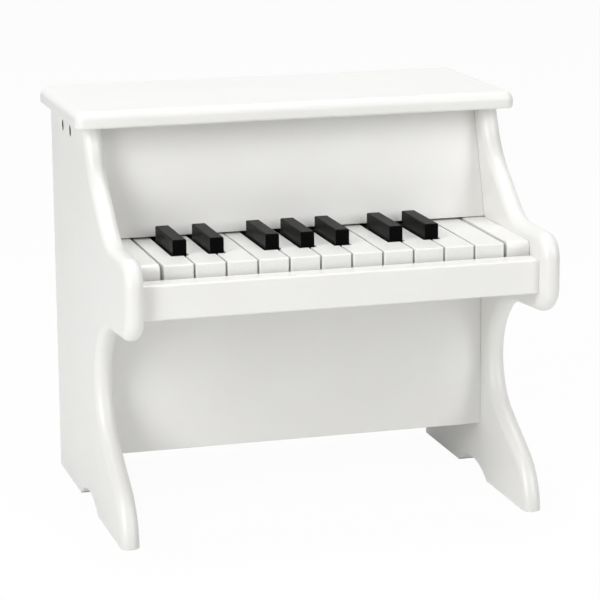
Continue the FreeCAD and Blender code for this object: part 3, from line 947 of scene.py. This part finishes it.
class PIANO_OT_sides(bpy.types.Operator):
    """Finish the two scrolled side panels."""

    bl_idname = "piano.sides"
    bl_label = "Side Panels"

    def execute(self, context):
        for node in ("left_side_panel", "right_side_panel"):
            panel = eased(node, context.scene.piano_sizes.board_ease)
            self.bare_and_shade_the_holes(panel)
        return {"FINISHED"}

    def bare_and_shade_the_holes(self, panel):
        """Show the raw board on the walls and floors of the screws' holes, in a dark brown that is
        partly painted shade.
        """
        panel.data.materials.append(finish("hole_fibre_and_shade"))
        reach = max(abs(vert.co.x) for vert in panel.data.vertices) - HOLE_LIP
        for low, high in boxes_of_solids("side_screws"):
            middle = (low + high) / 2
            for face in panel.data.polygons:
                off = face.center - middle
                if math.hypot(off.y, off.z) < HOLE_REACH and abs(face.center.x) < reach:
                    face.material_index = 1


class PIANO_OT_lid(bpy.types.Operator):
    """Finish the lid."""

    bl_idname = "piano.lid"
    bl_label = "Lid"

    def execute(self, context):
        eased("lid", context.scene.piano_sizes.board_ease)
        return {"FINISHED"}


class PIANO_OT_panels(bpy.types.Operator):
    """Finish the boards that close the case: two at the front, the back and the bottom."""

    bl_idname = "piano.panels"
    bl_label = "Panels"

    def execute(self, context):
        for node in ("upper_front_panel", "lower_front_panel", "back_panel", "bottom_board"):
            eased(node, context.scene.piano_sizes.board_ease)
        return {"FINISHED"}


class PIANO_OT_key_surround(bpy.types.Operator):
    """Finish the slip in front of the keys and the blocks beside them."""

    bl_idname = "piano.key_surround"
    bl_label = "Key Slip and Blocks"

    def execute(self, context):
        sizes = context.scene.piano_sizes
        eased("key_slip", sizes.board_ease)
        for node in ("left_key_block", "right_key_block"):
            eased(node, sizes.block_ease)
        return {"FINISHED"}


class PIANO_OT_white_keys(bpy.types.Operator):
    """Finish the white keys."""

    bl_idname = "piano.white_keys"
    bl_label = "White Keys"

    def execute(self, context):
        for node in nodes_of("white_key_paint"):
            eased(node, context.scene.piano_sizes.key_ease)
        return {"FINISHED"}


class PIANO_OT_black_keys(bpy.types.Operator):
    """Finish the black keys."""

    bl_idname = "piano.black_keys"
    bl_label = "Black Keys"

    def execute(self, context):
        for node in nodes_of("black_key_paint"):
            eased(node, context.scene.piano_sizes.key_ease)
        return {"FINISHED"}


class PIANO_OT_key_frame(bpy.types.Operator):
    """Finish what carries the keys: bed, balance rail, felts, spring comb and pivot wire."""

    bl_idname = "piano.key_frame"
    bl_label = "Key Frame"

    def execute(self, context):
        sizes = context.scene.piano_sizes
        for node in ("key_bed", "balance_rail", "key_felts"):
            eased(node, sizes.inner_ease)
        for node in ("key_spring_comb", "key_pivot_wire"):
            eased(node, sizes.thin_ease)
        return {"FINISHED"}


class PIANO_OT_hammers(bpy.types.Operator):
    """Finish the hammers, their rail and their pivot wire."""

    bl_idname = "piano.hammers"
    bl_label = "Hammers"

    def execute(self, context):
        for node in (*nodes_of("hammer_plastic"), "hammer_rail", "hammer_pivot_wire"):
            eased(node, context.scene.piano_sizes.thin_ease)
        return {"FINISHED"}


class PIANO_OT_chimes(bpy.types.Operator):
    """Finish the top rail and the cast bar, and hang the tuned rods from it."""

    bl_idname = "piano.chimes"
    bl_label = "Chimes"

    def execute(self, context):
        sizes = context.scene.piano_sizes
        for node in ("top_rail", "chime_bar"):
            eased(node, sizes.inner_ease)
        tops = [((low.x + high.x) / 2, (low.y + high.y) / 2, high.z) for low, high in ROD_BOXES]
        reaches = [high.z - low.z for low, high in ROD_BOXES]
        grow(
            "chime_rods", rod_tree(), tops,
            {"Rod Diameter": sizes.rod_diameter, "Rod Nose": sizes.rod_nose},
            ("reach", "FLOAT", "value", reaches),
        )
        return {"FINISHED"}


class PIANO_OT_screws(bpy.types.Operator):
    """Drive the screws of the sides, the back and the comb, and the bolts of the chime bar."""

    bl_idname = "piano.screws"
    bl_label = "Screws"

    # The axis that each group lies along, its head's height and its core's diameter in millimetres
    groups = {
        "side_screws": (0, 2.4, 2.7),
        "back_panel_screws": (1, 1.4, 2.0),
        "comb_screws": (2, 1.3, 1.8),
        "chime_bolts": (1, 3.5, 4.2),
    }

    def execute(self, context):
        sizes = context.scene.piano_sizes
        tree = screw_tree()
        for node, (axis, head_height, core) in self.groups.items():
            boxes = boxes_of_solids(node)
            size = boxes[0][1] - boxes[0][0]
            seats, inward = [], []
            for low, high in boxes:
                # A screw in the left side points right; every other one points towards low numbers
                way = 1 if axis == 0 and low.x < 0 else -1
                seat = (low + high) / 2
                outer = low if way > 0 else high
                seat[axis] = outer[axis] + way * head_height * MM
                seats.append(tuple(seat))
                inward.extend(way if place == axis else 0 for place in range(3))
            values = {
                "Head Diameter": size[axis - 1],
                "Head Height": head_height * MM,
                "Core Diameter": core * MM,
                "Shank Length": size[axis] - head_height * MM,
                "Thread Pitch": sizes.thread_pitch,
                "Thread Depth": sizes.thread_depth,
                "Recess Width": sizes.recess_width,
                "Seed": sizes.recess_seed,
            }
            grow(node, tree, seats, values, ("inward", "FLOAT_VECTOR", "vector", inward))
        return {"FINISHED"}


class PIANO_OT_stage(bpy.types.Operator):
    """Set the pale floor, the soft light and the camera."""

    bl_idname = "piano.stage"
    bl_label = "Stage"

    def execute(self, context):
        stage = context.scene.piano_stage
        self.light_sky(context.scene, stage)
        self.lay_floor(context.scene, stage)
        for name, (place, size, setting) in LAMPS.items():
            self.hang_lamp(context.scene, name, place, size, getattr(stage, setting))
        self.place_camera(context.scene, stage)
        context.scene.view_settings.view_transform = "Standard"
        return {"FINISHED"}

    def share_shown(self, tree, straight, mirrored):
        """The share of plain white that the camera sees straight, or in gloss, metal and glass."""
        rays = add(tree, "ShaderNodeLightPath").outputs
        turned = add(
            tree, "ShaderNodeMath",
            {0: rays["Is Glossy Ray"], 1: rays["Is Transmission Ray"]}, operation="MAXIMUM",
        )
        glint = add(
            tree, "ShaderNodeMath",
            {0: turned.outputs["Value"], 1: mirrored}, operation="MULTIPLY",
        )
        return add(
            tree, "ShaderNodeMath",
            {0: rays["Is Camera Ray"], 1: straight, 2: glint.outputs["Value"]},
            operation="MULTIPLY_ADD",
        ).outputs["Value"]

    def light_sky(self, scene, stage):
        """Even light from all round, against a white background."""
        scene.world = bpy.data.worlds.new("Studio")
        scene.world.use_nodes = True
        tree = scene.world.node_tree
        tree.nodes.clear()
        strength = add(
            tree, "ShaderNodeMapRange",
            {"Value": self.share_shown(tree, 1.0, 1.0), "To Min": stage.sky, "To Max": 1.0},
        )
        sky = add(
            tree, "ShaderNodeBackground",
            {"Color": WHITE, "Strength": strength.outputs["Result"]},
        )
        add(tree, "ShaderNodeOutputWorld", {"Surface": sky.outputs["Background"]})

    def lay_floor(self, scene, stage):
        """A wide pale floor that shows near white, less so in gloss, and keeps the piano's shadow."""
        half = stage.floor_size / 2
        corners = [(-half, -half, 0), (half, -half, 0), (half, half, 0), (-half, half, 0)]
        mesh = bpy.data.meshes.new("studio_floor")
        mesh.from_pydata(corners, [], [(0, 1, 2, 3)])
        floor = bpy.data.objects.new("studio_floor", mesh)
        scene.collection.objects.link(floor)
        material = bpy.data.materials.new("Studio floor")
        material.use_nodes = True
        tree = material.node_tree
        tree.nodes.clear()
        paper = add(tree, "ShaderNodeBsdfDiffuse", {"Color": scene.piano_colours.floor})
        glow = add(tree, "ShaderNodeEmission", {"Color": WHITE})
        shown = self.share_shown(tree, stage.floor_glow, stage.floor_mirror)
        surface = add(
            tree, "ShaderNodeMixShader",
            {0: shown, 1: paper.outputs["BSDF"], 2: glow.outputs["Emission"]},
        )
        add(tree, "ShaderNodeOutputMaterial", {"Surface": surface.outputs["Shader"]})
        mesh.materials.append(material)

    def hang_lamp(self, scene, name, place, size, power):
        """A soft lamp, as wide and as tall as given, that faces the keyboard."""
        data = bpy.data.lights.new(name, "AREA")
        data.shape = "RECTANGLE"
        data.size, data.size_y = size
        data.energy = power
        lamp = bpy.data.objects.new(name, data)
        scene.collection.objects.link(lamp)
        middle = (CAD_BOX[0] + CAD_BOX[1]) / 2
        lamp.location = place
        lamp.rotation_euler = (middle - lamp.location).to_track_quat("-Z", "Y").to_euler()

    def place_camera(self, scene, stage):
        """The photograph's view."""
        data = bpy.data.cameras.new("Photograph view")
        data.lens = stage.lens
        data.sensor_width = SENSOR_WIDTH
        camera = bpy.data.objects.new("Photograph view", data)
        scene.collection.objects.link(camera)
        around = math.radians(CAMERA_AZIMUTH)
        above = math.radians(CAMERA_ELEVATION)
        back = Vector((
            math.sin(around) * math.cos(above),
            -math.cos(around) * math.cos(above),
            math.sin(above),
        ))
        right = Vector((0, 0, 1)).cross(back).normalized()
        up = back.cross(right)
        roll = Matrix.Rotation(math.radians(CAMERA_ROLL), 3, "Z")
        turn = Matrix((right, up, back)).transposed() @ roll
        camera.matrix_world = Matrix.Translation(CAMERA_PLACE) @ turn.to_4x4()
        scene.camera = camera


PIECE_OPERATORS = (
    PIANO_OT_sides, PIANO_OT_lid, PIANO_OT_panels, PIANO_OT_key_surround, PIANO_OT_white_keys,
    PIANO_OT_black_keys, PIANO_OT_key_frame, PIANO_OT_hammers, PIANO_OT_chimes, PIANO_OT_screws,
    PIANO_OT_stage,
)
SETTINGS = {"piano_sizes": PianoSizes, "piano_colours": PianoColours, "piano_stage": PianoStage}


class PIANO_PT_panel(bpy.types.Panel):
    """Settings and steps of the toy piano."""

    bl_idname = "PIANO_PT_panel"
    bl_label = "Toy Piano"
    bl_space_type = "VIEW_3D"
    bl_region_type = "UI"
    bl_category = "Toy Piano"

    def draw(self, context):
        for operator in PIECE_OPERATORS:
            self.layout.operator(operator.bl_idname)
        for name, group in SETTINGS.items():
            box = self.layout.box()
            for entry in group.__annotations__:
                box.prop(getattr(context.scene, name), entry)


def register():
    """Add the settings, the steps and the panel to Blender."""
    for entry in (*SETTINGS.values(), *PIECE_OPERATORS, PIANO_PT_panel):
        bpy.utils.register_class(entry)
    for name, group in SETTINGS.items():
        setattr(bpy.types.Scene, name, PointerProperty(type=group))


def unregister():
    """Take out what register added."""
    for name in SETTINGS:
        delattr(bpy.types.Scene, name)
    for entry in (PIANO_PT_panel, *reversed(PIECE_OPERATORS), *SETTINGS.values()):
        bpy.utils.unregister_class(entry)


def main():
    """Register, finish every piece in order and set the stage."""
    register()
    for operator in PIECE_OPERATORS:
        group, step = operator.bl_idname.split(".")
        getattr(getattr(bpy.ops, group), step)()


if __name__ == "__main__":
    main()
